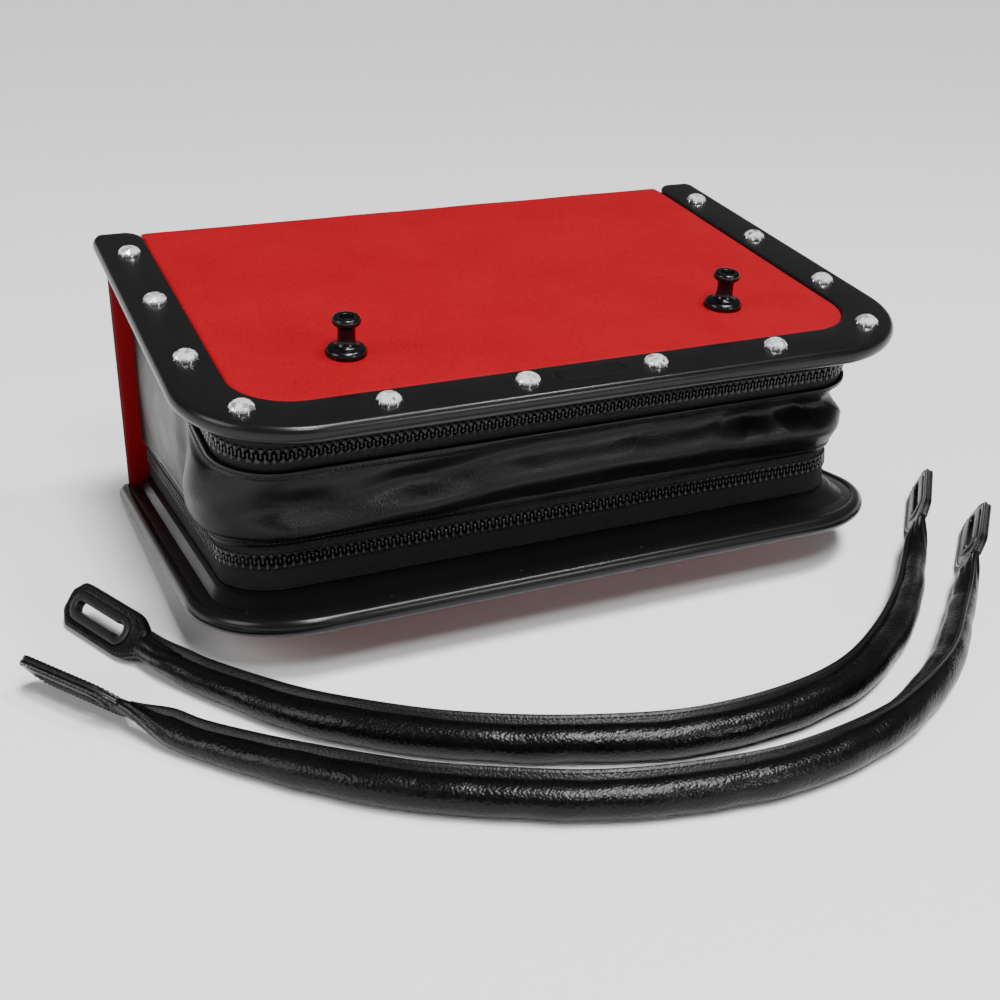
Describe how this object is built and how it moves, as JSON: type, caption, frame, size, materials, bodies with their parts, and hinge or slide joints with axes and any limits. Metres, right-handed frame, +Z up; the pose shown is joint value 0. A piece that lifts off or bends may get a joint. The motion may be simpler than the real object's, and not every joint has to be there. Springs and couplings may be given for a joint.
{
  "type": "drum stick bag",
  "caption": "Hard-framed drum stick bag that opens like a book, with zipped leather gusset, strap buttons, crystal studs and detached padded leather handles.",
  "frame": {"origin": "centre of the footprint of the bag and its handles, on the floor they stand on", "axes": "+X along the spine, to the right of someone facing the opening side; -Y towards the opening side; +Z up"},
  "size_m": [0.6486, 0.5138, 0.2009],
  "materials": {
    "frame_plastic": "moulded, satin black",
    "red_leather": "fine grain, semi-matt red",
    "black_leather": "pebbled grain, semi-matt black",
    "zip_tape": "woven, black",
    "zip_teeth": "moulded, black",
    "board": "pressed fibre board",
    "lining": "brushed lining cloth, black",
    "button_nylon": "turned, polished black",
    "screw_steel": "blackened",
    "crystal": "cut and polished, clear over silver foil",
    "slider_metal": "enamelled black",
    "plate_nylon": "moulded, matt black"
  },
  "bodies": {
    "bottom_panel": {"bottom_board": "board", "bottom_button_left": "button_nylon", "bottom_button_right": "button_nylon", "bottom_button_screw_left": "screw_steel", "bottom_button_screw_right": "screw_steel", "bottom_frame": "frame_plastic", "bottom_leather": "red_leather", "bottom_lining": "lining", "bottom_zip_rail": "frame_plastic", "lower_zip_panel_tape": "zip_tape", "lower_zip_panel_teeth": "zip_teeth"},
    "middle": {"accessory_pocket": "lining", "divider_board": "lining", "gusset_leather": "black_leather", "lower_zip_gusset_tape": "zip_tape", "lower_zip_gusset_teeth": "zip_teeth", "spine_leather": "red_leather", "stick_pocket": "lining", "upper_zip_gusset_tape": "zip_tape", "upper_zip_gusset_teeth": "zip_teeth"},
    "top_panel": {"crystal_stud_01": "crystal", "crystal_stud_02": "crystal", "crystal_stud_03": "crystal", "crystal_stud_04": "crystal", "crystal_stud_05": "crystal", "crystal_stud_06": "crystal", "crystal_stud_07": "crystal", "crystal_stud_08": "crystal", "crystal_stud_09": "crystal", "crystal_stud_10": "crystal", "crystal_stud_11": "crystal", "crystal_stud_12": "crystal", "top_board": "board", "top_button_left": "button_nylon", "top_button_right": "button_nylon", "top_button_screw_left": "screw_steel", "top_button_screw_right": "screw_steel", "top_frame": "frame_plastic", "top_leather": "red_leather", "top_lining": "lining", "top_zip_rail": "frame_plastic", "upper_zip_panel_tape": "zip_tape", "upper_zip_panel_teeth": "zip_teeth"},
    "lower_slider": {"lower_slider": "slider_metal"},
    "lower_pull": {"lower_pull": "slider_metal"},
    "upper_slider": {"upper_slider": "slider_metal"},
    "upper_pull": {"upper_pull": "slider_metal"},
    "handle_a": {"handle_a_grip": "black_leather", "handle_a_left_plate": "plate_nylon", "handle_a_left_tab": "black_leather", "handle_a_right_plate": "plate_nylon", "handle_a_right_tab": "black_leather"},
    "handle_b": {"handle_b_grip": "black_leather", "handle_b_left_plate": "plate_nylon", "handle_b_left_tab": "black_leather", "handle_b_right_plate": "plate_nylon", "handle_b_right_tab": "black_leather"}
  },
  "joints": [
    {"name": "lower_hinge", "type": "hinge", "parent": "bottom_panel", "child": "middle", "pos_m": [0.00664, 0.25583, 0], "axis": [-1, 0, 0], "range_deg": [0, 90]},
    {"name": "upper_hinge", "type": "hinge", "parent": "middle", "child": "top_panel", "pos_m": [0.00664, 0.24452, 0.20068], "axis": [-1, 0, 0], "range_deg": [0, 90]},
    {"name": "lower_slider_travel", "type": "slide", "parent": "middle", "child": "lower_slider", "axis": [0, -0.9949, 0.1006], "range_m": [0, 0.18]},
    {"name": "upper_slider_travel", "type": "slide", "parent": "middle", "child": "upper_slider", "axis": [0, -0.9921, -0.1258], "range_m": [0, 0.18]},
    {"name": "lower_pull_swing", "type": "hinge", "parent": "lower_slider", "child": "lower_pull", "pos_m": [0.22394, 0.23149, 0.03764], "axis": [0, 0.1006, 0.9949], "range_deg": [0, 150]},
    {"name": "upper_pull_swing", "type": "hinge", "parent": "upper_slider", "child": "upper_pull", "pos_m": [0.22394, 0.22115, 0.16244], "axis": [0, -0.1258, 0.9921], "range_deg": [0, 150]},
    {"name": "handle_a_lift", "type": "slide", "parent": "bottom_panel", "child": "handle_a", "axis": [0, 0, 1], "range_m": [0, 0.3]},
    {"name": "handle_b_lift", "type": "slide", "parent": "bottom_panel", "child": "handle_b", "axis": [0, 0, 1], "range_m": [0, 0.3]}
  ]
}
